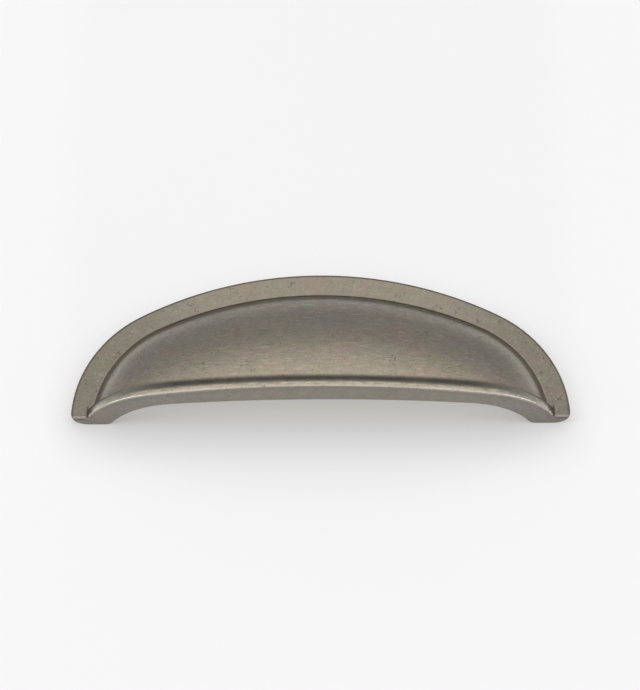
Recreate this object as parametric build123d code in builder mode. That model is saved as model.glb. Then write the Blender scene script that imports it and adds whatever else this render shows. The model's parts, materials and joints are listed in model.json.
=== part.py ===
"""A one-piece cast shell pull for a drawer, with an open mouth that the fingers reach into.

X runs along the drawer front, Y is up when the pull is mounted, and Z points out of the
drawer front. The origin is on the back face, midway between the two screw holes.
"""
from build123d import *
import math
import os

# Screw fixing, in millimetres
hole_spacing = 96.0
hole_above_mouth = 7.5
thread_radius = 2.0
thread_depth = 5.5
thread_mouth_chamfer = 0.3
thread_mouth_angle = 90.0
boss_radius = 4.0

# Flange: the flat plate that lies against the drawer front
width = 120.0
height = 39.1
flange_thickness = 3.7
flange_side_radius = 31.7
flange_corner_radius = 1.2
flange_front_round = 0.35
foot_corner_radius = 4.8
foot_corner_inset = 4.5

# Dome: the shell that rises from the flange
shelf_side = 4.85
shelf_top = 4.9
shelf_shoulder = 3.6
dome_projection = 16.3
dome_axis_drop = 10.0
wall = 2.4

# Lip: the bead along the mouth
lip_inset = 2.6
lip_projection = 19.4
lip_side_radius = 21.4
lip_side_top = 15.4
bead_width = 3.8
bead_round = 2.7
bead_edge_round = 0.5

# Mouth: the opening that the fingers reach into
foot_width = 6.7
mouth_rise = 13.0
mouth_side_radius = 19.1
mouth_side_top = 10.9
mouth_flare_angle = 14.0
foot_round = 2.0

# How far the outlines are drawn past the planes that trim them
overrun = 6.0


def arch(half_width, rise, side_radius, side_drop, legs):
    """Draw a closed three-centred arch in the open sketch.

    The half width is taken on the base line, and the rise is the crown's height over it.
    Each side is an arc whose centre lies side_drop below the base line, and one larger
    arc over the crown is tangent to both. Straight legs run on below the side arcs.
    """
    side_x = half_width - math.sqrt(side_radius**2 - side_drop**2)
    climb = rise + side_drop
    crown_radius = (side_x**2 + climb**2 - side_radius**2) / (2 * (climb - side_radius))
    join_angle = math.degrees(math.atan2(crown_radius - climb, side_x))
    leg_x = side_x + side_radius
    with BuildLine() as outline:
        CenterArc((side_x, -side_drop), side_radius, 0, join_angle)
        CenterArc((0, rise - crown_radius), crown_radius, join_angle, 180 - 2 * join_angle)
        CenterArc((-side_x, -side_drop), side_radius, 180 - join_angle, join_angle)
        Polyline(
            (-leg_x, -side_drop),
            (-leg_x, -side_drop - legs),
            (leg_x, -side_drop - legs),
            (leg_x, -side_drop),
        )
    make_face(outline.edges())


def turned_dome(half_width, rise, side_radius, projection):
    """Add a dome to the open part: an arch in the plan, turned about the dome's axis.

    The axis lies below the mouth, along X. The turned shape is then flattened along Z, so
    that its crown stands out by the projection where it meets the mouth.
    """
    with BuildSketch(plan) as profile:
        arch(half_width, rise, side_radius, 0, dome_axis_drop)
    revolve(profile.sketch, axis=dome_axis)
    reach = math.sqrt((rise + dome_axis_drop) ** 2 - dome_axis_drop**2)
    scale(by=(1, 1, projection / reach))


# The plan lies on the back face with its base line on the mouth, and the mouth plane
# stands on that line, facing down
plan = Plane((0, -hole_above_mouth, 0))
mouth = Plane((0, -hole_above_mouth, 0), x_dir=(1, 0, 0), z_dir=(0, -1, 0))
dome_axis = Axis((0, -hole_above_mouth - dome_axis_drop, 0), (1, 0, 0))
dome_half_width = width / 2 - shelf_side
dome_rise = height - shelf_top
dome_side_radius = flange_side_radius - shelf_shoulder
lip_half_width = width / 2 - lip_inset

# The side arcs of the lip and the mouth are centred so far below the back face that they
# top out at their named heights
lip_side_drop = lip_side_radius - lip_side_top
mouth_side_drop = mouth_side_radius - mouth_side_top
thread_mouth_radius = thread_radius + thread_mouth_chamfer

# The flange's outline is cut square at the mouth, with small rounds at its two corners
with BuildPart() as flange:
    with BuildSketch(plan) as flange_outline:
        arch(width / 2, height, flange_side_radius, 0, overrun)
        with Locations((0, -overrun)):
            Rectangle(2 * width, 2 * overrun, mode=Mode.SUBTRACT)
        corners = flange_outline.vertices().group_by(Axis.Y)[0]
        fillet(corners, flange_corner_radius)
    extrude(amount=flange_thickness)
    fillet(flange.edges().group_by(Axis.Z)[-1], flange_front_round)

# The dome is cut off at the back face and at the mouth
with BuildPart() as dome:
    turned_dome(dome_half_width, dome_rise, dome_side_radius, dome_projection)
    split(bisect_by=plan, keep=Keep.TOP)
    split(bisect_by=mouth, keep=Keep.BOTTOM)

# The bead is square at the mouth, with a small edge round, and round at its far edge
with BuildPart() as bead:
    with BuildSketch(mouth):
        arch(lip_half_width, lip_projection, lip_side_radius, lip_side_drop, overrun)
    extrude(amount=-bead_width)
    fillet(bead.edges().group_by(Axis.Y)[-1].sort_by(Axis.Z)[1:], bead_round)
    fillet(bead.edges().group_by(Axis.Y)[0].sort_by(Axis.Z)[1:], bead_edge_round)
    split(bisect_by=plan, keep=Keep.TOP)

# The gap between the feet narrows away from the mouth, and spreads in a round at the back.
# Its sides cut the back face in hyperbolas
with BuildPart() as gap:
    with BuildSketch(mouth):
        arch(
            lip_half_width - foot_width,
            mouth_rise,
            mouth_side_radius,
            mouth_side_drop,
            overrun,
        )
    extrude(amount=-height, taper=-mouth_flare_angle)
    with BuildSketch(plan):
        with Locations((0, height / 2)):
            Rectangle(2 * width, height)
    extrude(amount=-overrun)
    fillet(gap.edges().filter_by(GeomType.HYPERBOLA), foot_round)

# The hollow follows the dome one wall inside it, within the gap
with BuildPart() as hollow:
    turned_dome(
        dome_half_width - wall,
        dome_rise - wall,
        dome_side_radius - wall,
        dome_projection - wall,
    )
    split(bisect_by=plan, keep=Keep.TOP)
    add(gap.part, mode=Mode.INTERSECT)

# The two screw bosses stand inside the dome, from the back face to its wall
with BuildPart() as bosses:
    with GridLocations(hole_spacing, 0, 2, 1):
        Cylinder(boss_radius, 2 * lip_projection)
    add(dome.part, mode=Mode.INTERSECT)

# The casting is one piece. Its feet are rounded at the back's outer corners, and the blind
# screw holes, bored at the thread's outer radius, open on the back face
with BuildPart() as pull_body:
    add(flange.part)
    add(dome.part)
    add(bead.part)
    with BuildSketch(mouth):
        foot_corner_x = width / 2 - foot_corner_inset + foot_corner_radius
        with Locations((0, lip_projection)):
            RectangleRounded(2 * foot_corner_x, 2 * lip_projection, foot_corner_radius)
    extrude(amount=-height, mode=Mode.INTERSECT)
    add(hollow.part, mode=Mode.SUBTRACT)
    add(bosses.part)
    with Locations(Plane.XY.rotated((180, 0, 0))):
        with GridLocations(hole_spacing, 0, 2, 1):
            CounterSinkHole(
                thread_radius, thread_mouth_radius, thread_depth, thread_mouth_angle
            )

pull_body.part.label = "pull_body"
os.makedirs("parts", exist_ok=True)
export_step(pull_body.part, "parts/pull_body.step")
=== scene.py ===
"""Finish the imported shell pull: aged pewter on the casting, threads in its two tapped holes.

The frame gives the casting as it is made, in metres: X along the drawer front, Y up when
the pull is mounted, Z out of the drawer front, and the origin midway between the holes.
"""
import json
import math

import bpy
import numpy as np
from mathutils import Matrix, Vector


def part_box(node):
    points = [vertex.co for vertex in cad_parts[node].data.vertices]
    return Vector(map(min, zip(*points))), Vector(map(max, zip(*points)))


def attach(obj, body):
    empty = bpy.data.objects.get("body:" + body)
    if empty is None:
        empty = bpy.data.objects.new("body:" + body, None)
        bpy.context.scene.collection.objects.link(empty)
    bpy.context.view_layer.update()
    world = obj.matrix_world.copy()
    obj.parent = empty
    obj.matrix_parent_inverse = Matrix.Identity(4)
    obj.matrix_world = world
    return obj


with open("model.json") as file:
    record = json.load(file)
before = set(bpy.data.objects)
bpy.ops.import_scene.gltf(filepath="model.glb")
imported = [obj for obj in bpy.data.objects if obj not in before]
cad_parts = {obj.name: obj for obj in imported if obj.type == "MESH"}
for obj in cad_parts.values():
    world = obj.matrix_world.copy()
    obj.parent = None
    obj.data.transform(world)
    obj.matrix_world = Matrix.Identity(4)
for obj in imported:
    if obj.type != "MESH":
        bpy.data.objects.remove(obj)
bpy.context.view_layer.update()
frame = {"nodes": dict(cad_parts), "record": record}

bl_info = {
    "name": "Shell pull",
    "version": (1, 0, 0),
    "blender": (4, 5, 0),
    "location": "View3D > Sidebar > Shell pull",
    "description": "Aged pewter finish, tapped threads and a pale studio for a shell pull",
    "category": "Object",
}

MM = 0.001
CASTING = "pull_body"
STREAKS = "Brush marks"
HOLES = next(m for m in frame["record"]["mounts"] if m["kind"] == "bolt_pattern")
LOW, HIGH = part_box(CASTING)


def span(start, end, at_start=0.0, at_end=1.0):
    """Where a mask starts and ends, given in millimetres, and its level at either end."""
    return start * MM, end * MM, at_start, at_end


# Spans of the masks along X, from the middle of the pull to its ends
BASE_LINE_WIDTH = span(30, 48, 0.43 * MM, 0.30 * MM)
BASE_LINE_LEVEL = span(30, 50, 1.0, 0.7)
GROOVE_LEVEL = span(34, 49, 1.0, 0.15)
WORN_WIDE_REACH = span(32, 44, 1.0, 0.0)
EDGE_FROM_MIDDLE = span(14, 36, 0.45, 1.0)
EDGE_TO_END = span(43, 52, 1.0, 0.5)
FOOT_EDGE_REACH = span(55, 57)
ENDS = span(22, 54)

# Along Y, from the line of the holes
BASE_SHADE_UP = span(6, 22)
RIM_LINE_UP = span(-5, 27, 0.6, 1.0)

# Away from the mouth's plane, and from the bead's far side
MOUTH_FACE = span(0.02, 0.25, 1.0, 0.0)
EDGE_NEAR = span(0.03, 0.12)
EDGE_FAR = span(0.55, 1.2, 1.0, 0.0)
FOOT_EDGE_FAR = span(0.15, 0.4, 1.0, 0.0)
GROOVE_FAR = span(0.0, 0.3, 1.0, 0.0)

# Out from the flange's front face
ABOVE_FLANGE = span(0.0, 0.4)
DOME_OUT = span(-0.2, 0.0)
RIM_LINE_OUT = span(-1.6, -0.6)
FOOT_EDGE_OUT = span(-0.4, -0.15)
STEP_DEPTH = 1.1 * MM

# Outwards from the dome's surface
ON_DOME = span(0.2, 0.5, 1.0, 0.0)
OFF_DOME = span(0.05, 0.3)

# Outwards from the lip's outline
STEP_OUTSIDE = span(0.0, 0.4)
MOUTH_TOP = span(-2.6, -0.6)
LIP_CROWN = span(-1.3, -0.3)
LIP_EDGE = span(-0.9, -0.35)

# Outwards from the flange's outline
RIM_LINE = span(-0.70, -0.32)

# Away from a line where two surfaces meet
LINE_CORE = 0.1 * MM
FOOT_LINE = span(0.1, 0.42, 0.8, 0.0)
STEP_LINE = span(0.1, 0.45, 0.6, 0.0)
BASE_SHADE = span(2.5, 8.5, 1.0, 0.0)
GROOVE_ON_DOME = span(0.5, 1.95, 1.0, 0.0)

# In shares of the bead's width from the mouth, and in shares of the wall from the dome
FOOT_LINE_END = (0.55, 0.9, 1.0, 0.0)
GROOVE_ON_BEAD = (0.25, 0.72, 0.0, 1.0)
WORN_WIDE = (0.30, 0.70, 1.0, 0.0)
WORN_NARROW = (0.25, 0.65, 1.0, 0.0)
HOLLOW = (-0.8, -0.4, 1.0, 0.0)

# Brush marks: two noises, stretched to so many periods a metre in X, Y and Z
SOFT_STRETCH = (150.0, 2400.0, 2400.0)
SOFT_NOISE = {"scale": 1.0, "detail": 3.0, "roughness": 0.6}
SCRATCH_STRETCH = (260.0, 3000.0, 3000.0)
SCRATCH_OFFSET = (3.1, 1.7, 0.4)
SCRATCH_NOISE = {"scale": 1.0, "detail": 1.0, "roughness": 0.5}
SCRATCH_CREST = (0.61, 0.72)

# Specks: how much broader their patches are, and how soft a speck's edge is
PATCH_BREADTH = 7.0
SPECK_EDGE = 0.07
SPECK_NOISE = {"detail": 1.5, "roughness": 0.6}
PATCH_NOISE = {"detail": 1.0, "roughness": 0.5}

# The plating's patches: colour, stretch, offset, noise scale and detail, and noise levels
PATCHES = (
    ("Cool", (1.0, 1.0, 1.0), (0.0, 0.0, 0.0), 55.0, 2.0, (0.45, 0.7)),
    ("Pink", (1.0, 1.4, 1.4), (7.3, 2.9, 5.1), 130.0, 3.0, (0.5, 0.66)),
    ("Green", (1.0, 1.4, 1.4), (1.9, 8.8, 3.7), 150.0, 3.0, (0.52, 0.68)),
)

# The casting's noises and specks
GRAIN_NOISE = {"scale": 2600.0, "detail": 2.0, "roughness": 0.6}
MOTTLE_NOISE = {"scale": 620.0, "detail": 2.0, "roughness": 0.5}
RUB_STRETCH = (500.0, 1400.0, 1400.0)
RUB_NOISE = {"scale": 1.0, "detail": 3.0, "roughness": 0.65}
STAIN_AND_SHADE_NOISE = {"scale": 300.0, "detail": 3.0, "roughness": 0.5}
PITS = {"Scale": 1500.0, "Cut": 0.68, "Patches": 0.4}
FLECKS = {"Scale": 2300.0, "Cut": 0.6, "Patches": 0.45}
FLECK_OFFSET = (0.31, 0.47, 0.83)

# What the patterns do: a pattern's two levels, and the tone or strength at each
GRAIN_TONE = (0.25, 0.75, 0.92, 1.08)
MOTTLE_TONE = (0.3, 0.7, 0.95, 1.05)
BRUSH_TONE = (0.3, 0.75, 0.97, 1.06)
DOME_TIPS = (0.8, 0.98)
WORN_RUB = (0.35, 0.6, 0.3, 1.0)
EDGE_RUB = (0.25, 0.5, 0.6, 1.0)
STAIN_AND_SHADE_PATCHY = (0.3, 0.6, 0.88, 1.0)
CUT_MARKS = (0.25, 0.75, 0.0, 0.3)

# How much of its colour a mark, a stain or its painted shade lays over the metal below
SCRATCH_COVER = 0.65
FLECK_COVER = 0.28
PIT_COVER = 0.4
BROWN_COVER = 0.2
PAINTED_RIM_REFLECTION_COVER = 0.8
STAIN_AND_SHADE_COVER = 0.92

# How metallic the stain and painted shade are, the mottle's relief beside the grain's, the
# tone of the dark marks in the cut thread, and how far the mottle moves the flange's roughness
# down and up
STAIN_AND_SHADE_METALLIC = 0.5
MOTTLE_RELIEF = 1.5
CUT_SHADE = 0.6
ROUGHNESS_LEVELS = (0.2, 0.8)
ROUGHNESS_DOWN = 0.03
ROUGHNESS_UP = 0.04

# The thread's tooth: its outline along the hole in pitches and into it in tooth heights,
# how many turns it takes to grow, and its height where it starts
TOOTH_ALONG = (-0.44, -0.07, 0.07, 0.44, 0.44, -0.44)
TOOTH_TALL = (0.0, 1.0, 1.0, 0.0, -0.1, -0.1)
TOOTH_GROWTH = 0.5
TOOTH_START = 0.05
STEPS_PER_TURN = 72

# The stage: the lens's frame, and the room's side light by how far a ray points along X
FRAME_HEIGHT = 36.0
SIDE_RAYS = (0.4, 0.85)

# The floor: its clouds, and a painted shadow where its glow is lost before, beside and under
# the mouth
FLOOR_CORNERS = ((-1, -1, 0), (1, -1, 0), (1, 1, 0), (-1, 1, 0))
FLOOR_CLOUDS = {"scale": 9.0, "detail": 2.0}
FLOOR_SHADE = 0.97
FLOOR_ROUGHNESS = 0.85
LOSS_BEFORE = span(-15, -1)
LOSS_UNDER = span(0, 4, 1.0, 0.3)
LOSS_BESIDE = span(-4, 9, 1.0, 0.0)

# The soft lights: name, place, width and height, the setting with the power, and tint
LIGHTS = (
    ("left light", (-0.80, -0.09, 0.54), (0.40, 0.90), "left_power", (1.0, 0.96, 0.89)),
    ("right light", (0.76, -0.05, 0.58), (0.35, 0.75), "right_power", (0.96, 0.98, 1.0)),
    ("back light", (0.0, 0.62, 0.65), (1.6, 0.22), "back_power", (1.0, 0.87, 0.72)),
    ("top light", (0.0, -0.13, 0.86), (1.2, 0.25), "top_power", (1.0, 0.96, 0.90)),
)


def length(name, description, default):
    """A length in metres, shown in the scene's unit."""
    return bpy.props.FloatProperty(
        name=name, description=description, default=default, unit="LENGTH", precision=5
    )


def share(name, description, default):
    """A number from nought to one."""
    return bpy.props.FloatProperty(
        name=name,
        description=description,
        default=default,
        min=0.0,
        max=1.0,
        subtype="FACTOR",
    )


def number(name, description, default):
    """A plain number."""
    return bpy.props.FloatProperty(name=name, description=description, default=default)


def angle(name, description, degrees):
    """An angle, given in degrees and kept in radians."""
    return bpy.props.FloatProperty(
        name=name, description=description, default=math.radians(degrees), subtype="ANGLE"
    )


def colour(name, description, default):
    """A linear colour of three channels."""
    return bpy.props.FloatVectorProperty(
        name=name,
        description=description,
        default=default,
        size=3,
        subtype="COLOR",
        min=0,
        max=1,
    )


class CastingSizes(bpy.types.PropertyGroup):
    """Where the casting's dome, bead and flange lie, so that the finish can follow them."""

    flange_thickness: length("Flange thickness", "Height of the flange's front", 3.7 * MM)
    flange_side_radius: length("Flange side radius", "Radius of its two end arcs", 31.7 * MM)
    dome_half_width: length("Dome half width", "From the middle to its end", 55.15 * MM)
    dome_rise: length("Dome rise", "From the mouth to the top of its arch", 34.2 * MM)
    dome_side_radius: length("Dome side radius", "Radius of its two end arcs", 28.1 * MM)
    dome_projection: length("Dome projection", "How far the dome stands out", 16.3 * MM)
    dome_axis_drop: length("Dome axis drop", "From the mouth to the dome's axis", 10.0 * MM)
    wall: length("Wall", "Thickness of the dome's shell", 2.4 * MM)
    lip_half_width: length("Lip half width", "From the middle to the bead's end", 57.4 * MM)
    lip_projection: length("Lip projection", "How far the bead stands out", 19.4 * MM)
    lip_side_radius: length("Lip side radius", "Radius of its two end arcs", 21.4 * MM)
    lip_side_drop: length("Lip side drop", "How far those arcs' centres lie down", 6.0 * MM)
    bead_width: length("Bead width", "From the mouth to the bead's far side", 3.8 * MM)


class FinishColours(bpy.types.PropertyGroup):
    """The colours and wear of the aged pewter, and the tones of its painted shade and light.
    """

    plating: colour("Plating", "The warm grey of the plated front", (0.301, 0.284, 0.238))
    plating_cool: colour("Cool patches", "Bluish patina", (0.285, 0.273, 0.240))
    plating_pink: colour("Pink patches", "Reddish patina", (0.322, 0.278, 0.240))
    plating_green: colour("Green patches", "Greenish patina", (0.292, 0.287, 0.226))
    worn: colour("Worn metal", "Bare metal where hands and polish reach", (0.45, 0.42, 0.35))
    # Worn metal with a painted highlight, on the lip's edge and the flange's tips
    edge: colour("Edge metal", "The bright edge at the lip's two ends", (0.64, 0.62, 0.55))
    # Grime in the grooves and pits, and painted shade and dark reflection along the dome's
    # base, the groove and the rim
    grime_and_painted_shade: colour("Grime", "The dark stain left in the grooves", (0.030, 0.024, 0.021))
    # A darker, warmer tint on the mouth face just below the lip's edge
    brown: colour("Brown film", "The warm film under the lip's edge", (0.16, 0.13, 0.10))
    raw: colour("Raw casting", "Unpolished metal inside the hollow", (0.20, 0.195, 0.185))
    # Painted shade: the flange darker towards its two ends
    painted_end_shade: share("End tone", "Tone of the flange's ends beside its middle", 0.80)
    # Painted light: the dome lighter at its two tips
    painted_dome_end_light: number("Dome end tone", "Tone of its two tips beside its middle", 1.1)
    # Painted shade: the flat face round the mouth a little darker
    painted_mouth_shade: share("Mouth tone", "Tone of the flat face round the mouth", 0.93)
    # Painted shade on the dome beside its base line
    painted_base_shade_tone: share("Base tone", "Tone of the dome beside its base line", 0.76)
    roughness: share("Roughness", "Roughness of the flange", 0.36)
    dome_roughness: share("Dome roughness", "Roughness of the brushed dome", 0.29)
    worn_roughness: share("Worn roughness", "Roughness of the worn bead", 0.22)
    raw_roughness: share("Raw roughness", "Roughness of the raw casting", 0.62)
    streak_depth: length("Streak depth", "Depth of the brush marks", 0.003 * MM)
    grain_depth: length("Grain depth", "Depth of the casting's fine grain", 0.006 * MM)
    pit_depth: length("Pit depth", "Depth of the casting's pits", 0.03 * MM)


class ThreadSizes(bpy.types.PropertyGroup):
    """The thread cut in the two blind holes."""

    major_radius: length(
        "Major radius", "Radius at the thread's root", HOLES["dims"]["hole_r_mm"] * MM
    )
    tooth_height: length("Tooth height", "How far the thread stands inwards", 0.38 * MM)
    pitch: length("Pitch", "From one turn to the next", 0.7 * MM)
    depth: length("Depth", "Depth of the cut thread from the back face", 5.2 * MM)
    mouth_chamfer: length("Mouth chamfer", "Where the first turn starts", 0.45 * MM)
    cut_metal: colour("Cut metal", "The bright metal of the cut thread", (0.50, 0.49, 0.46))
    cut_roughness: share("Cut roughness", "Roughness of the cut thread", 0.3)


class StudioSizes(bpy.types.PropertyGroup):
    """The camera, the light and the floor."""

    camera_elevation: angle("Camera elevation", "How steeply the camera looks down", 61.99)
    camera_roll: angle("Camera roll", "How far the camera leans", -0.2)
    camera_distance: length("Camera distance", "From the camera to its target", 0.625)
    camera_lens: number("Lens", "Focal length in mm on a 36 mm high frame", 135.0)
    camera_target: bpy.props.FloatVectorProperty(
        name="Camera target",
        description="The point in the middle of the picture",
        default=(-0.0001, 0.00972, 0.008),
        size=3,
        subtype="TRANSLATION",
        unit="LENGTH",
    )
    floor_half_size: length("Floor half size", "From the floor's middle to its edge", 3.0)
    floor_colour: colour("Floor colour", "The pale floor", (0.65, 0.687, 0.757))
    floor_glow: share("Floor glow", "Light that the floor gives by itself", 0.385)
    # Painted shadow: how much of the floor's glow is taken away round the mouth
    painted_shadow_strength: share("Glow loss", "How much of that light is lost before the mouth", 0.25)
    glow_colour: colour("Glow colour", "The colour of that light", (1.0, 0.95, 0.865))
    sky_high: colour("High light", "Light of the soft box overhead", (1.0, 0.965, 0.91))
    sky_low: colour("Low light", "The room's light all round", (0.475, 0.455, 0.46))
    sky_side: colour("Side light", "The room's light from both sides", (0.60, 0.60, 0.61))
    sky_strength: number("Room light", "Strength of the room's light", 1.0)
    box_elevation: angle("Box elevation", "Height of the soft box over the horizon", 65.0)
    box_full: angle("Box full", "Half the angle over which the soft box is full", 17.0)
    box_edge: angle("Box edge", "Half the angle over which it fades out", 36.0)
    left_power: number("Left light", "Power of the left light in watts", 1.8)
    right_power: number("Right light", "Power of the right light in watts", 1.1)
    back_power: number("Back light", "Power of the back light in watts", 0.7)
    top_power: number("Top light", "Power of the top light in watts", 0.6)


class NodeSheet:
    """A node tree that is filled from left to right."""

    column_width = 180
    row_height = 160
    rows = 4

    def __init__(self, tree):
        self.tree = tree
        self.count = 0

    def add(self, kind, settings=None, inputs=None):
        """Add a node, set its own settings, and set or link its inputs by name or place."""
        node = self.tree.nodes.new(kind)
        row = self.count % self.rows
        node.location = (self.count * self.column_width, -row * self.row_height)
        self.count += 1
        for name, value in (settings or {}).items():
            setattr(node, name, value)
        for key, value in (inputs or {}).items():
            self.feed(node.inputs[key], value)
        return node

    def feed(self, socket, value):
        """Link a socket to another, or set its value."""
        if isinstance(value, bpy.types.NodeSocket):
            self.tree.links.new(value, socket)
        elif socket.type == "RGBA":
            socket.default_value = (*value[:3], 1.0)
        else:
            socket.default_value = value

    def math(self, operation, *values):
        """One step of arithmetic."""
        node = self.add("ShaderNodeMath", {"operation": operation}, dict(enumerate(values)))
        return node.outputs[0]

    def chain(self, operation, values):
        """The same step of arithmetic over several numbers, from the first to the last."""
        total, *others = values
        for value in others:
            total = self.math(operation, total, value)
        return total

    def product(self, *values):
        """The product of several numbers."""
        return self.chain("MULTIPLY", values)

    def largest(self, *values):
        """The largest of several numbers."""
        return self.chain("MAXIMUM", values)

    def root_of_squares(self, first, second):
        """The root of the sum of two numbers' squares."""
        squares = (self.math("POWER", value, 2.0) for value in (first, second))
        return self.math("SQRT", self.math("ADD", *squares))

    def ramp(self, value, low, high, from_low=0.0, from_high=1.0):
        """Turn a range of values smoothly into another, and hold it at both ends."""
        inputs = {
            "Value": value,
            "From Min": low,
            "From Max": high,
            "To Min": from_low,
            "To Max": from_high,
        }
        node = self.add("ShaderNodeMapRange", {"interpolation_type": "SMOOTHSTEP"}, inputs)
        return node.outputs[0]

    def toned(self, mask, tone):
        """One where a mask is nought, and the tone where it is one."""
        return self.ramp(mask, 0.0, 1.0, 1.0, tone)

    def towards(self, value, mask, goal):
        """Move a value to a goal where a mask is one."""
        gap = self.math("SUBTRACT", goal, value)
        return self.math("ADD", value, self.product(mask, gap))

    def mix(self, factor, first, second, blend="MIX"):
        """Mix two colours."""
        node = self.add("ShaderNodeMix", {"data_type": "RGBA", "blend_type": blend})
        self.feed(node.inputs["Factor"], factor)
        self.feed(node.inputs[6], first)
        self.feed(node.inputs[7], second)
        return node.outputs[2]

    def noise(self, vector, scale, detail=2.0, roughness=0.5):
        """A noise from nought to one."""
        inputs = {"Vector": vector, "Scale": scale, "Detail": detail, "Roughness": roughness}
        return self.add("ShaderNodeTexNoise", {}, inputs).outputs["Fac"]

    def stretched(self, vector, scale, offset=(0.0, 0.0, 0.0)):
        """The same place on another scale in each direction."""
        inputs = {"Vector": vector, "Scale": scale, "Location": offset}
        return self.add("ShaderNodeMapping", {}, inputs).outputs[0]

    def group(self, group, inputs):
        """Place a node group."""
        return self.add("ShaderNodeGroup", {"node_tree": group}, inputs).outputs


def new_group(name, inputs, outputs):
    """Start a shader node group with named inputs and outputs.

    The inputs are (name, kind, value) and the outputs (name, kind), where a kind is Float,
    Vector or Color. Returns the group's sheet, its input sockets and its output node.
    """
    tree = bpy.data.node_groups.new(name, "ShaderNodeTree")
    for label, kind, value in inputs:
        socket = tree.interface.new_socket(
            label, in_out="INPUT", socket_type="NodeSocket" + kind
        )
        if value is not None:
            socket.default_value = value
    for label, kind in outputs:
        tree.interface.new_socket(label, in_out="OUTPUT", socket_type="NodeSocket" + kind)
    sheet = NodeSheet(tree)
    given = sheet.add("NodeGroupInput").outputs
    result = sheet.add("NodeGroupOutput").inputs
    return sheet, given, result


def arch_of(half_width, rise, side_radius, side_drop):
    """A three-centred arch's own sizes: its arcs' centres and radii, by the names of inputs.

    The side arcs' centres lie side_drop below the base line. The crown's arc is tangent to
    both, so its centre lies where the three centres and the two joints are in line.
    """
    side_across = half_width - math.sqrt(side_radius**2 - side_drop**2)
    climb = rise + side_drop
    crown_radius = (side_across**2 + climb**2 - side_radius**2) / (2 * (climb - side_radius))
    return {
        "Side Across": side_across,
        "Side Up": -side_drop,
        "Side Radius": side_radius,
        "Crown Up": rise - crown_radius,
        "Crown Radius": crown_radius,
    }


def make_arch_group():
    """Node group: signed distance from a three-centred arch, less than nought inside it.

    Beyond the line through the crown's and the side's centres the distance is taken from
    the side arc, and otherwise from the crown's arc.
    """
    arch = ("Side Across", "Side Up", "Side Radius", "Crown Up", "Crown Radius")
    inputs = [(name, "Float", 0.0) for name in ("Across", "Up", *arch)]
    sheet, given, result = new_group("Arch distance", inputs, [("Distance", "Float")])
    across = sheet.math("ABSOLUTE", given["Across"])
    over_crown = sheet.math("SUBTRACT", given["Up"], given["Crown Up"])
    beyond = sheet.math("SUBTRACT", across, given["Side Across"])
    over_side = sheet.math("SUBTRACT", given["Up"], given["Side Up"])
    from_side = sheet.root_of_squares(beyond, over_side)
    from_crown = sheet.root_of_squares(across, over_crown)
    side = sheet.math("SUBTRACT", from_side, given["Side Radius"])
    crown = sheet.math("SUBTRACT", from_crown, given["Crown Radius"])
    centres_apart = sheet.math("SUBTRACT", given["Side Up"], given["Crown Up"])
    lean = sheet.product(across, centres_apart)
    rise = sheet.product(over_crown, given["Side Across"])
    is_side = sheet.math("GREATER_THAN", lean, rise)
    sheet.feed(result["Distance"], sheet.towards(crown, is_side, side))
    return sheet.tree


class Distances:
    """A point's distances from the casting's landmarks, as sockets in a group's sheet.

    The dome is an arch turned about its axis and flattened, so a point's distance over it
    is the arch's distance at the point's own turning radius.
    """

    def __init__(self, sheet, vector, sizes, arch_group):
        place = sheet.add("ShaderNodeSeparateXYZ", {}, {0: vector}).outputs
        self.across = sheet.math("ABSOLUTE", place["X"])
        self.up = place["Y"]
        self.over_mouth = sheet.math("SUBTRACT", place["Y"], LOW.y)
        self.over_flange = sheet.math("SUBTRACT", place["Z"], sizes.flange_thickness)
        self.behind_bead = sheet.math("SUBTRACT", self.over_mouth, sizes.bead_width)
        self.bead_share = sheet.math("DIVIDE", self.over_mouth, sizes.bead_width)

        def over_arch(up, *arch):
            """The distance over an arch from a point's height in the arch's own plane."""
            inputs = {"Across": self.across, "Up": up, **arch_of(*arch)}
            return sheet.group(arch_group, inputs)["Distance"]

        drop = sizes.dome_axis_drop
        reach = math.sqrt((sizes.dome_rise + drop) ** 2 - drop**2)
        from_axis = sheet.math("ADD", self.over_mouth, drop)
        height = sheet.math("DIVIDE", place["Z"], sizes.dome_projection / reach)
        turning_radius = sheet.root_of_squares(from_axis, height)
        self.over_dome = over_arch(
            sheet.math("SUBTRACT", turning_radius, drop),
            sizes.dome_half_width,
            sizes.dome_rise,
            sizes.dome_side_radius,
            0.0,
        )
        self.over_lip = over_arch(
            place["Z"],
            sizes.lip_half_width,
            sizes.lip_projection,
            sizes.lip_side_radius,
            sizes.lip_side_drop,
        )
        self.over_rim = over_arch(
            self.over_mouth, HIGH.x, HIGH.y - LOW.y, sizes.flange_side_radius, 0.0
        )
        self.to_base = sheet.root_of_squares(self.over_flange, self.over_dome)
        self.wall_share = sheet.math("DIVIDE", self.over_dome, sizes.wall)


def base_line_mask(sheet, at, mouth_face):
    """The dark line along the dome's base, at the bead's feet and on the step beside them:
    partly grime in these corners, partly painted shade.
    """
    line_end = sheet.ramp(at.across, *BASE_LINE_WIDTH)
    base_line = sheet.product(
        sheet.ramp(at.to_base, LINE_CORE, line_end, 1.0, 0.0),
        sheet.ramp(at.across, *BASE_LINE_LEVEL),
    )
    to_foot = sheet.root_of_squares(at.over_flange, at.over_lip)
    foot_line = sheet.product(
        sheet.ramp(to_foot, *FOOT_LINE),
        sheet.ramp(at.bead_share, *FOOT_LINE_END),
    )
    over_step = sheet.math("ADD", at.over_flange, STEP_DEPTH)
    step_line = sheet.product(
        sheet.ramp(sheet.math("ABSOLUTE", over_step), *STEP_LINE),
        mouth_face,
        sheet.ramp(at.over_lip, *STEP_OUTSIDE),
    )
    return sheet.largest(base_line, foot_line, step_line)


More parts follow.
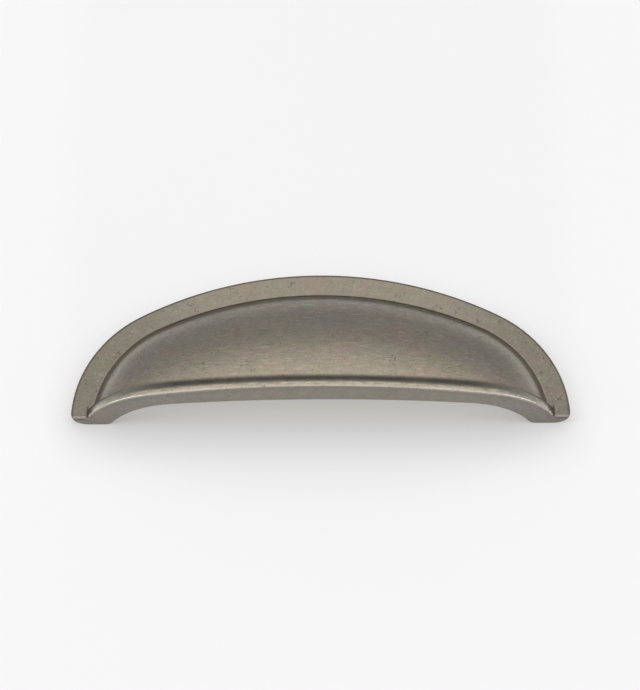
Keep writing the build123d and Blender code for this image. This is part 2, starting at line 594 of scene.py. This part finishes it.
def groove_mask(sheet, at, above_flange):
    """The dark groove behind the bead, on the dome beside it and on the bead's far side:
    partly grime in the groove, partly painted shade and dark reflection on the bead's far
    side.
    """
    to_bead = sheet.root_of_squares(at.behind_bead, at.over_dome)
    dome_side = sheet.ramp(to_bead, *GROOVE_ON_DOME)
    bead_side = sheet.product(
        sheet.ramp(at.bead_share, *GROOVE_ON_BEAD),
        sheet.ramp(at.behind_bead, *GROOVE_FAR),
        sheet.ramp(at.over_dome, *OFF_DOME),
    )
    level = sheet.ramp(at.across, *GROOVE_LEVEL)
    return sheet.product(sheet.largest(dome_side, bead_side), level, above_flange)


def lip_crown_mask(sheet, at, off_face, above_flange):
    """The worn front of the bead, which is narrower towards its two ends."""
    wide = sheet.ramp(at.bead_share, *WORN_WIDE)
    narrow = sheet.ramp(at.bead_share, *WORN_NARROW)
    in_middle = sheet.ramp(at.across, *WORN_WIDE_REACH)
    on_bead = sheet.math("MINIMUM", wide, sheet.largest(narrow, in_middle))
    return sheet.product(off_face, sheet.ramp(at.over_lip, *LIP_CROWN), on_bead, above_flange)


def lip_edge_highlight_mask(sheet, at, above_flange):
    """The bright edge between the bead and the mouth face, and that of the flange's tips: worn
    metal with a painted highlight on the bead's edge, and a painted highlight on the flange's
    tips.
    """
    bead_edge = sheet.product(
        sheet.ramp(at.over_mouth, *EDGE_NEAR),
        sheet.ramp(at.over_mouth, *EDGE_FAR),
        sheet.ramp(at.over_lip, *LIP_EDGE),
        sheet.ramp(at.across, *EDGE_FROM_MIDDLE),
        sheet.ramp(at.across, *EDGE_TO_END),
        above_flange,
    )
    foot_edge = sheet.product(
        sheet.ramp(at.over_flange, *FOOT_EDGE_OUT),
        sheet.ramp(at.over_mouth, *FOOT_EDGE_FAR),
        sheet.ramp(at.across, *FOOT_EDGE_REACH),
    )
    return sheet.largest(bead_edge, foot_edge)


def make_landmarks_group(sizes, arch_group):
    """Node group: masks of the places that take the finish in their own way, and of its
    painted shade, reflections and highlights.

    Each mask runs from nought to one. A line where two surfaces meet is drawn by the root
    of the squares of the distances from both.
    """
    names = (
        "Dome",
        "Base Line",
        "Base Shade",
        "Groove",
        "Rim Line",
        "Lip Crown",
        "Lip Edge",
        "Mouth Face",
        "Mouth Top",
        "Hollow",
        "Ends",
    )
    sheet, given, result = new_group(
        "Casting landmarks",
        [("Vector", "Vector", None)],
        [(name, "Float") for name in names],
    )
    at = Distances(sheet, given["Vector"], sizes, arch_group)
    mouth_face = sheet.ramp(at.over_mouth, *MOUTH_FACE)
    off_face = sheet.math("SUBTRACT", 1.0, mouth_face)
    above_flange = sheet.ramp(at.over_flange, *ABOVE_FLANGE)
    dome = sheet.product(
        sheet.ramp(sheet.math("ABSOLUTE", at.over_dome), *ON_DOME),
        sheet.ramp(at.over_flange, *DOME_OUT),
        off_face,
    )
    # Painted shade: the dome darker beside its base line, more so towards the top of its arch
    painted_base_shade = sheet.product(
        sheet.ramp(at.to_base, *BASE_SHADE),
        sheet.ramp(at.up, *BASE_SHADE_UP),
    )
    # Painted reflection: a dark line along the flange's outer rim, standing in for its rounded
    # edge mirroring the dim room
    painted_rim_reflection = sheet.product(
        sheet.ramp(at.over_rim, *RIM_LINE),
        sheet.ramp(at.over_flange, *RIM_LINE_OUT),
        sheet.ramp(at.up, *RIM_LINE_UP),
    )
    masks = (
        dome,
        base_line_mask(sheet, at, mouth_face),
        painted_base_shade,
        groove_mask(sheet, at, above_flange),
        painted_rim_reflection,
        lip_crown_mask(sheet, at, off_face, above_flange),
        lip_edge_highlight_mask(sheet, at, above_flange),
        mouth_face,
        sheet.product(mouth_face, sheet.ramp(at.over_lip, *MOUTH_TOP)),
        sheet.product(sheet.ramp(at.wall_share, *HOLLOW), off_face),
        sheet.ramp(at.across, *ENDS),
    )
    for name, mask in zip(names, masks):
        sheet.feed(result[name], mask)
    return sheet.tree


def make_streaks_group():
    """Node group: brush marks along X, from nought to one.

    The soft marks are a long thin noise, and the scratches are the crests of another one,
    cut off near its top so that few of them are left.
    """
    sheet, given, result = new_group(
        STREAKS,
        [("Vector", "Vector", None)],
        [("Marks", "Float"), ("Scratches", "Float")],
    )
    soft_place = sheet.stretched(given["Vector"], SOFT_STRETCH)
    sheet.feed(result["Marks"], sheet.noise(soft_place, **SOFT_NOISE))
    scratch_place = sheet.stretched(given["Vector"], SCRATCH_STRETCH, SCRATCH_OFFSET)
    crests = sheet.noise(scratch_place, **SCRATCH_NOISE)
    sheet.feed(result["Scratches"], sheet.ramp(crests, *SCRATCH_CREST))
    return sheet.tree


def make_specks_group():
    """Node group: scattered irregular specks, one inside a speck and nought outside.

    A noise of about the specks' spacing is cut off near its top, and a broader noise
    gathers them in patches.
    """
    sheet, given, result = new_group(
        "Casting specks",
        [
            ("Vector", "Vector", None),
            ("Scale", "Float", 900.0),
            ("Cut", "Float", 0.66),
            ("Patches", "Float", 0.5),
        ],
        [("Mask", "Float")],
    )
    fine = sheet.noise(given["Vector"], given["Scale"], **SPECK_NOISE)
    patch_scale = sheet.math("DIVIDE", given["Scale"], PATCH_BREADTH)
    patches = sheet.noise(given["Vector"], patch_scale, **PATCH_NOISE)
    shift = sheet.product(sheet.math("SUBTRACT", patches, 0.5), given["Patches"])
    level = sheet.math("ADD", fine, shift)
    top = sheet.math("ADD", given["Cut"], SPECK_EDGE)
    sheet.feed(result["Mask"], sheet.ramp(level, given["Cut"], top))
    return sheet.tree


def make_patina_group():
    """Node group: the plating's colour, mottled with cool, pink and green patches."""
    sheet, given, result = new_group(
        "Patina",
        [
            ("Vector", "Vector", None),
            ("Plating", "Color", (0.3, 0.27, 0.22, 1.0)),
            ("Cool", "Color", (0.26, 0.25, 0.23, 1.0)),
            ("Pink", "Color", (0.31, 0.26, 0.22, 1.0)),
            ("Green", "Color", (0.28, 0.27, 0.2, 1.0)),
        ],
        [("Color", "Color")],
    )
    metal = given["Plating"]
    for name, stretch, offset, scale, detail, levels in PATCHES:
        place = sheet.stretched(given["Vector"], stretch, offset)
        patch = sheet.ramp(sheet.noise(place, scale, detail), *levels)
        metal = sheet.mix(patch, metal, given[name])
    sheet.feed(result["Color"], metal)
    return sheet.tree


def new_material(name):
    """Start a material: its sheet, its shader and the place on the object."""
    material = bpy.data.materials.new(name)
    material.use_nodes = True
    sheet = NodeSheet(material.node_tree)
    shader = material.node_tree.nodes["Principled BSDF"]
    place = sheet.add("ShaderNodeTexCoord").outputs["Object"]
    return material, sheet, shader, place


def plating_tone(sheet, finish, grain, mottle, brushed, on):
    """How light the plating is, from its patterns and its place on the casting, with painted
    shade and light: darker flange ends, mouth face and dome base, lighter dome tips.
    """
    off_dome = sheet.math("SUBTRACT", 1.0, on["Dome"])
    off_mouth = sheet.math("SUBTRACT", 1.0, on["Mouth Face"])
    flange_ends = sheet.product(on["Ends"], off_dome, off_mouth)
    dome_ends = sheet.product(on["Ends"], on["Dome"])
    return sheet.product(
        sheet.ramp(grain, *GRAIN_TONE),
        sheet.ramp(mottle, *MOTTLE_TONE),
        sheet.ramp(brushed, *BRUSH_TONE),
        sheet.toned(flange_ends, finish.painted_end_shade),
        sheet.ramp(dome_ends, *DOME_TIPS, 1.0, finish.painted_dome_end_light),
        sheet.toned(on["Mouth Face"], finish.painted_mouth_shade),
        sheet.toned(sheet.product(on["Base Shade"], on["Dome"]), finish.painted_base_shade_tone),
    )


def make_pewter(finish, groups):
    """The casting's finish: brushed, mottled plating, a worn bead and dark grooves, with
    painted shade, reflections and highlights on its edges, ends and corners.
    """
    material, sheet, shader, place = new_material("Aged pewter")
    marks = sheet.group(groups["streaks"], {"Vector": place})
    on = sheet.group(groups["landmarks"], {"Vector": place})
    pits = sheet.group(groups["specks"], {"Vector": place, **PITS})["Mask"]
    fleck_place = sheet.stretched(place, (1.0, 1.0, 1.0), FLECK_OFFSET)
    flecks = sheet.group(groups["specks"], {"Vector": fleck_place, **FLECKS})["Mask"]
    patina = {
        "Vector": place,
        "Plating": finish.plating,
        "Cool": finish.plating_cool,
        "Pink": finish.plating_pink,
        "Green": finish.plating_green,
    }
    plating = sheet.group(groups["patina"], patina)["Color"]
    grain = sheet.noise(place, **GRAIN_NOISE)
    mottle = sheet.noise(place, **MOTTLE_NOISE)
    rub = sheet.noise(sheet.stretched(place, RUB_STRETCH), **RUB_NOISE)
    brushed = sheet.product(marks["Marks"], on["Dome"])
    worn = sheet.product(on["Lip Crown"], sheet.ramp(rub, *WORN_RUB))
    # Worn metal with a painted highlight along the lip's edge and at the flange's tips
    bright = sheet.product(on["Lip Edge"], sheet.ramp(rub, *EDGE_RUB))
    # Painted dark reflection along the flange's rim, laid on with the grime
    painted_rim_reflection = sheet.product(on["Rim Line"], PAINTED_RIM_REFLECTION_COVER)
    # Grime in the corners and groove with painted shade there, and the painted rim reflection,
    # as one dark layer
    lines = sheet.largest(on["Base Line"], on["Groove"], painted_rim_reflection)
    patchy = sheet.ramp(sheet.noise(place, **STAIN_AND_SHADE_NOISE), *STAIN_AND_SHADE_PATCHY)
    stain_and_painted_shade = sheet.product(lines, patchy, STAIN_AND_SHADE_COVER)

    tone = plating_tone(sheet, finish, grain, mottle, brushed, on)
    shade = sheet.add("ShaderNodeCombineXYZ", {}, {0: tone, 1: tone, 2: tone}).outputs[0]
    metal = sheet.mix(1.0, plating, shade, "MULTIPLY")
    layers = (
        (worn, finish.worn),
        (bright, finish.edge),
        (sheet.product(marks["Scratches"], on["Dome"], SCRATCH_COVER), finish.worn),
        (sheet.product(flecks, FLECK_COVER), finish.worn),
        (sheet.product(pits, PIT_COVER), finish.grime_and_painted_shade),
        # Darkens and warms the mouth face just below the lip's edge
        (sheet.product(on["Mouth Top"], BROWN_COVER), finish.brown),
        (on["Hollow"], finish.raw),
        (stain_and_painted_shade, finish.grime_and_painted_shade),
    )
    for mask, layer in layers:
        metal = sheet.mix(mask, metal, layer)
    sheet.feed(shader.inputs["Base Color"], metal)
    sheet.feed(shader.inputs["Metallic"], sheet.toned(stain_and_painted_shade, STAIN_AND_SHADE_METALLIC))

    smoothest = finish.roughness - ROUGHNESS_DOWN
    roughest = finish.roughness + ROUGHNESS_UP
    rough = sheet.ramp(mottle, *ROUGHNESS_LEVELS, smoothest, roughest)
    for mask, goal in (
        (on["Dome"], finish.dome_roughness),
        (sheet.largest(worn, bright), finish.worn_roughness),
        (on["Hollow"], finish.raw_roughness),
        (stain_and_painted_shade, finish.raw_roughness),
    ):
        rough = sheet.towards(rough, mask, goal)
    sheet.feed(shader.inputs["Roughness"], rough)

    relief = (
        sheet.product(grain, finish.grain_depth),
        sheet.product(mottle, finish.grain_depth, MOTTLE_RELIEF),
        sheet.product(brushed, finish.streak_depth),
        sheet.product(pits, -finish.pit_depth),
    )
    bump_inputs = {"Height": sheet.chain("ADD", relief), "Strength": 1.0, "Distance": 1.0}
    bump = sheet.add("ShaderNodeBump", {}, bump_inputs)
    sheet.feed(shader.inputs["Normal"], bump.outputs[0])
    return material


def make_cut_metal(thread, streaks):
    """The cut thread's finish: bright metal with the tap's fine marks."""
    material, sheet, shader, place = new_material("Cut thread")
    marks = sheet.group(streaks, {"Vector": place})["Marks"]
    dark = tuple(CUT_SHADE * channel for channel in thread.cut_metal)
    metal = sheet.mix(sheet.ramp(marks, *CUT_MARKS), thread.cut_metal, dark)
    sheet.feed(shader.inputs["Base Color"], metal)
    shader.inputs["Metallic"].default_value = 1.0
    shader.inputs["Roughness"].default_value = thread.cut_roughness
    return material


def ring_mesh(name, rings):
    """A closed mesh from an array of rings, shaped (rings, points in a ring, 3).

    Each ring joins the next with quads, the last point of a ring joins its first, and the
    two end rings are closed with one face each.
    """
    count, around, _ = rings.shape
    index = np.arange(count * around).reshape(count, around)
    after = np.roll(index, -1, axis=1)
    quads = np.stack([index[:-1], after[:-1], after[1:], index[1:]], axis=-1).reshape(-1, 4)
    faces = quads.tolist() + [index[0][::-1].tolist(), index[-1].tolist()]
    mesh = bpy.data.meshes.new(name)
    mesh.from_pydata(rings.reshape(-1, 3).tolist(), [], faces)
    mesh.validate()
    mesh.update()
    return mesh


def thread_rings(centre, inward, thread):
    """A thread's tooth carried along a helix into the hole.

    Across the tooth, the profile runs from the root's foot to a flat crest and back. At
    turn t the ring stands at angle 2 pi t about the hole's axis, and its middle lies t and
    a half pitches inside the chamfer. The tooth grows from almost nothing over its first
    half turn and dies away over the last.
    """
    turns = (thread.depth - thread.mouth_chamfer) / thread.pitch - 1.0
    turn = np.linspace(0.0, turns, int(turns * STEPS_PER_TURN))[:, None]
    along = np.array(TOOTH_ALONG)[None, :] * thread.pitch
    tall = np.array(TOOTH_TALL)[None, :] * thread.tooth_height
    grown = np.clip(np.minimum(turn, turns - turn) / TOOTH_GROWTH, TOOTH_START, 1.0)
    radius = thread.major_radius - tall * grown
    deep = thread.mouth_chamfer + (turn + 0.5) * thread.pitch + along
    turned = 2.0 * np.pi * turn
    x = centre[0] + radius * np.cos(turned)
    y = centre[1] + radius * np.sin(turned)
    z = centre[2] + inward * deep
    return np.stack([x, y, z], axis=-1)


class PULL_OT_casting(bpy.types.Operator):
    """Give the casting its aged pewter finish"""

    bl_idname = "pull.casting"
    bl_label = "Casting"

    def execute(self, context):
        groups = {
            "landmarks": make_landmarks_group(context.scene.pull_sizes, make_arch_group()),
            "streaks": make_streaks_group(),
            "specks": make_specks_group(),
            "patina": make_patina_group(),
        }
        casting = frame["nodes"][CASTING]
        casting.data.materials.clear()
        casting.data.materials.append(make_pewter(context.scene.pull_finish, groups))
        return {"FINISHED"}


class PULL_OT_threads(bpy.types.Operator):
    """Cut the threads in the casting's two blind holes, once the casting has its finish"""

    bl_idname = "pull.threads"
    bl_label = "Threads"

    def execute(self, context):
        thread = context.scene.pull_thread
        metal = make_cut_metal(thread, bpy.data.node_groups[STREAKS])
        middle = HOLES["pos_m"]
        half = HOLES["dims"]["spacing_x_mm"] * MM / 2
        for name, side in (("left_thread", -1), ("right_thread", 1)):
            centre = (middle[0] + side * half, middle[1], middle[2])
            mesh = ring_mesh(name, thread_rings(centre, -HOLES["axis"][2], thread))
            mesh.materials.append(metal)
            piece = bpy.data.objects.new(name, mesh)
            context.scene.collection.objects.link(piece)
            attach(piece, "root")
        return {"FINISHED"}


def place_camera(context, studio):
    """Put the camera behind its target along its line of sight, leaning by its roll."""
    tilt = studio.camera_elevation
    forward = Vector((0.0, math.cos(tilt), -math.sin(tilt)))
    level_up = Vector((0.0, math.sin(tilt), math.cos(tilt)))
    level_right = Vector((1.0, 0.0, 0.0))
    roll = studio.camera_roll
    right = level_right * math.cos(roll) + level_up * math.sin(roll)
    up = level_up * math.cos(roll) - level_right * math.sin(roll)
    turn = Matrix((right, up, -forward)).transposed().to_4x4()
    turn.translation = Vector(studio.camera_target) - forward * studio.camera_distance
    lens = bpy.data.cameras.new("camera")
    lens.sensor_fit = "VERTICAL"
    lens.sensor_height = FRAME_HEIGHT
    lens.lens = studio.camera_lens
    camera = bpy.data.objects.new("camera", lens)
    camera.matrix_world = turn
    context.scene.collection.objects.link(camera)
    context.scene.camera = camera


def place_light(context, name, place, size, power, tint):
    """A soft rectangular light that faces the object."""
    lamp = bpy.data.lights.new(name, "AREA")
    lamp.shape = "RECTANGLE"
    lamp.size, lamp.size_y = size
    lamp.energy = power
    lamp.color = tint
    light = bpy.data.objects.new(name, lamp)
    light.location = place
    light.rotation_euler = (-Vector(place)).to_track_quat("-Z", "Y").to_euler()
    context.scene.collection.objects.link(light)


def light_room(context, studio):
    """The room's light: a soft box high behind the pull, in a grey room with lighter sides.

    The box fades out with the angle from its middle, and the sides come up with how far a
    ray points along X.
    """
    world = bpy.data.worlds.new("Room")
    context.scene.world = world
    world.use_nodes = True
    sheet = NodeSheet(world.node_tree)
    ray = sheet.add("ShaderNodeTexCoord").outputs["Generated"]
    tilt = studio.box_elevation
    aim = (0.0, math.cos(tilt), math.sin(tilt))
    dot = sheet.add("ShaderNodeVectorMath", {"operation": "DOT_PRODUCT"}, {0: ray, 1: aim})
    away = sheet.math("ARCCOSINE", dot.outputs["Value"])
    box = sheet.ramp(away, studio.box_full, studio.box_edge, 1.0, 0.0)
    along = sheet.add("ShaderNodeSeparateXYZ", {}, {0: ray}).outputs["X"]
    side = sheet.ramp(sheet.math("ABSOLUTE", along), *SIDE_RAYS)
    room = sheet.mix(side, studio.sky_low, studio.sky_side)
    background = world.node_tree.nodes["Background"]
    sheet.feed(background.inputs["Color"], sheet.mix(box, room, studio.sky_high))
    background.inputs["Strength"].default_value = studio.sky_strength


def painted_floor_shadow(sheet, place, studio):
    """Painted shadow on the floor: how much of its glow is lost, most before the mouth, less
    under the pull.
    """
    spot = sheet.add("ShaderNodeSeparateXYZ", {}, {0: place}).outputs
    over_mouth = sheet.math("SUBTRACT", spot["Y"], LOW.y)
    past_end = sheet.math("SUBTRACT", sheet.math("ABSOLUTE", spot["X"]), HIGH.x)
    return sheet.product(
        sheet.ramp(over_mouth, *LOSS_BEFORE),
        sheet.ramp(over_mouth, *LOSS_UNDER),
        sheet.ramp(past_end, *LOSS_BESIDE),
        studio.painted_shadow_strength,
    )


def lay_floor(context, studio):
    """The pale floor that the pull lies on, with a glow that is weaker at the mouth, a painted
    shadow.
    """
    corners = studio.floor_half_size * np.array(FLOOR_CORNERS)
    mesh = bpy.data.meshes.new("floor")
    mesh.from_pydata(corners.tolist(), [], [(0, 1, 2, 3)])
    material, sheet, shader, place = new_material("Pale floor")
    darker = tuple(FLOOR_SHADE * channel for channel in studio.floor_colour)
    tint = sheet.mix(sheet.noise(place, **FLOOR_CLOUDS), studio.floor_colour, darker)
    sheet.feed(shader.inputs["Base Color"], tint)
    shader.inputs["Roughness"].default_value = FLOOR_ROUGHNESS
    lost = painted_floor_shadow(sheet, place, studio)
    glow = sheet.mix(lost, studio.glow_colour, (0.0, 0.0, 0.0))
    sheet.feed(shader.inputs["Emission Color"], glow)
    shader.inputs["Emission Strength"].default_value = studio.floor_glow
    mesh.materials.append(material)
    floor = bpy.data.objects.new("floor", mesh)
    context.scene.collection.objects.link(floor)


class PULL_OT_stage(bpy.types.Operator):
    """Set up the pale floor, the soft light and the camera"""

    bl_idname = "pull.stage"
    bl_label = "Stage"

    def execute(self, context):
        studio = context.scene.pull_studio
        context.scene.view_settings.view_transform = "Standard"
        lay_floor(context, studio)
        light_room(context, studio)
        for name, place, size, power, tint in LIGHTS:
            place_light(context, name, place, size, getattr(studio, power), tint)
        place_camera(context, studio)
        return {"FINISHED"}


class PULL_PT_panel(bpy.types.Panel):
    """The pull's pieces, finish and stage"""

    bl_label = "Shell pull"
    bl_idname = "PULL_PT_panel"
    bl_space_type = "VIEW_3D"
    bl_region_type = "UI"
    bl_category = "Shell pull"

    def draw(self, context):
        for operator in OPERATORS:
            self.layout.operator(operator.bl_idname)
        for name in SETTINGS:
            box = self.layout.box()
            group = getattr(context.scene, name)
            for field in group.__annotations__:
                box.prop(group, field)


OPERATORS = (PULL_OT_casting, PULL_OT_threads, PULL_OT_stage)
SETTINGS = {
    "pull_sizes": CastingSizes,
    "pull_finish": FinishColours,
    "pull_thread": ThreadSizes,
    "pull_studio": StudioSizes,
}


def register():
    """Register the settings, the operators and the panel."""
    for name, group in SETTINGS.items():
        bpy.utils.register_class(group)
        setattr(bpy.types.Scene, name, bpy.props.PointerProperty(type=group))
    for item in (*OPERATORS, PULL_PT_panel):
        bpy.utils.register_class(item)


def unregister():
    """Undo what register did."""
    for item in (PULL_PT_panel, *reversed(OPERATORS)):
        bpy.utils.unregister_class(item)
    for name, group in SETTINGS.items():
        delattr(bpy.types.Scene, name)
        bpy.utils.unregister_class(group)


def main():
    """Register the settings, then finish the pieces in order."""
    register()
    bpy.ops.pull.casting()
    bpy.ops.pull.threads()
    bpy.ops.pull.stage()


if __name__ == "__main__":
    main()
